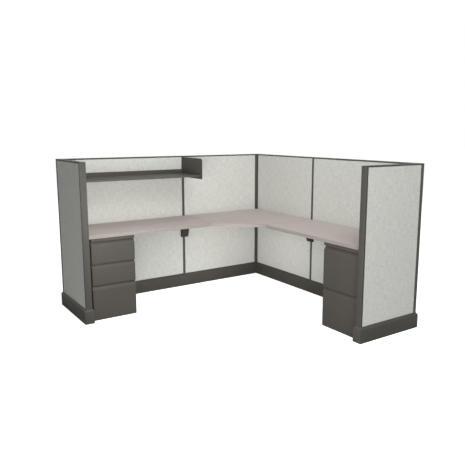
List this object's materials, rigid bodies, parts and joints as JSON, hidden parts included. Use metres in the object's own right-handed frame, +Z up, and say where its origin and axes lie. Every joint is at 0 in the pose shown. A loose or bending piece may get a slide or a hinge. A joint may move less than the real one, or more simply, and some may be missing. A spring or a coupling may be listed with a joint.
{
  "type": "cubicle workstation",
  "caption": "Open-cornered office cubicle: fabric panels, an L-shaped worksurface with a concave corner, a wall shelf and drawer pedestals with full-width pulls.",
  "frame": {"origin": "on the floor, under the middle of the square plan", "axes": "+Z up; +Y from the middle towards the back wall, which carries the shelf; +X towards the side wall; the open corner of the square faces -X and -Y"},
  "size_m": [2.28, 2.28, 1.366],
  "materials": {
    "frame_steel": "dark warm grey powder coat on roll-formed steel",
    "fabric": "pale grey mottled panel fabric wrapped on a board",
    "trim_paint": "dark warm grey powder coat, fine texture",
    "laminate": "warm grey laminate on board with a self-coloured edge",
    "bracket_paint": "dark warm grey powder coat on steel",
    "shelf_paint": "dark warm grey powder coat on steel sheet",
    "pedestal_paint": "dark warm grey powder coat on steel sheet",
    "drawer_steel": "mid grey paint on steel sheet",
    "zinc_steel": "zinc plated",
    "glide_black": "black moulded foot on a threaded stem"
  },
  "bodies": {
    "root": {"left_return_frame": "frame_steel", "back_end_frame": "frame_steel", "back_corner_frame": "frame_steel", "side_corner_frame": "frame_steel", "side_end_frame": "frame_steel", "right_return_frame": "frame_steel", "left_return_inner_tile": "fabric", "back_end_inner_tile": "fabric", "back_corner_inner_tile": "fabric", "side_corner_inner_tile": "fabric", "side_end_inner_tile": "fabric", "right_return_inner_tile": "fabric", "left_return_outer_tile": "fabric", "back_end_outer_tile": "fabric", "back_corner_outer_tile": "fabric", "side_corner_outer_tile": "fabric", "side_end_outer_tile": "fabric", "right_return_outer_tile": "fabric", "corner_posts": "frame_steel", "connector_plates": "frame_steel", "levelling_glides": "glide_black", "left_return_cap": "trim_paint", "back_wall_cap": "trim_paint", "side_wall_cap": "trim_paint", "right_return_cap": "trim_paint", "left_end_trim": "trim_paint", "right_end_trim": "trim_paint", "left_return_base_covers": "trim_paint", "back_wall_base_covers": "trim_paint", "side_wall_base_covers": "trim_paint", "right_return_base_covers": "trim_paint", "left_worksurface": "laminate", "corner_worksurface": "laminate", "right_worksurface": "laminate", "cantilever_brackets": "bracket_paint", "corner_bracket": "bracket_paint", "joining_plates": "bracket_paint", "worksurface_screws": "zinc_steel", "shelf_pan": "shelf_paint", "shelf_left_end": "shelf_paint", "shelf_right_end": "shelf_paint", "left_pedestal_case": "pedestal_paint", "right_pedestal_case": "pedestal_paint", "pedestal_glides": "glide_black", "left_case_slides": "zinc_steel", "right_case_slides": "zinc_steel"},
    "upper_box_drawer": {"upper_box_drawer_body": "drawer_steel", "upper_box_drawer_front": "pedestal_paint"},
    "middle_box_drawer": {"middle_box_drawer_body": "drawer_steel", "middle_box_drawer_front": "pedestal_paint"},
    "left_file_drawer": {"left_file_drawer_body": "drawer_steel", "left_file_drawer_front": "pedestal_paint"},
    "right_upper_file_drawer": {"right_upper_file_drawer_body": "drawer_steel", "right_upper_file_drawer_front": "pedestal_paint"},
    "right_lower_file_drawer": {"right_lower_file_drawer_body": "drawer_steel", "right_lower_file_drawer_front": "pedestal_paint"},
    "left_file_mid_slide": {"left_file_mid_slides": "zinc_steel"},
    "right_upper_mid_slide": {"right_upper_mid_slides": "zinc_steel"},
    "right_lower_mid_slide": {"right_lower_mid_slides": "zinc_steel"}
  },
  "joints": [
    {"name": "upper_box_drawer_slide", "type": "slide", "parent": "root", "child": "upper_box_drawer", "axis": [0, -1, 0], "range_m": [0, 0.343]},
    {"name": "middle_box_drawer_slide", "type": "slide", "parent": "root", "child": "middle_box_drawer", "axis": [0, -1, 0], "range_m": [0, 0.343]},
    {"name": "left_file_drawer_slide", "type": "slide", "parent": "root", "child": "left_file_drawer", "axis": [0, -1, 0], "range_m": [0, 0.44]},
    {"name": "right_upper_file_drawer_slide", "type": "slide", "parent": "root", "child": "right_upper_file_drawer", "axis": [-1, 0, 0], "range_m": [0, 0.44]},
    {"name": "right_lower_file_drawer_slide", "type": "slide", "parent": "root", "child": "right_lower_file_drawer", "axis": [-1, 0, 0], "range_m": [0, 0.44]},
    {"name": "left_file_mid_run", "type": "slide", "parent": "root", "child": "left_file_mid_slide", "axis": [0, -1, 0], "range_m": [0, 0.22]},
    {"name": "right_upper_mid_run", "type": "slide", "parent": "root", "child": "right_upper_mid_slide", "axis": [-1, 0, 0], "range_m": [0, 0.22]},
    {"name": "right_lower_mid_run", "type": "slide", "parent": "root", "child": "right_lower_mid_slide", "axis": [-1, 0, 0], "range_m": [0, 0.22]}
  ],
  "couplings": [
    {"joint": "left_file_mid_run", "follows": "left_file_drawer_slide", "ratio": 0.5},
    {"joint": "right_upper_mid_run", "follows": "right_upper_file_drawer_slide", "ratio": 0.5},
    {"joint": "right_lower_mid_run", "follows": "right_lower_file_drawer_slide", "ratio": 0.5}
  ]
}
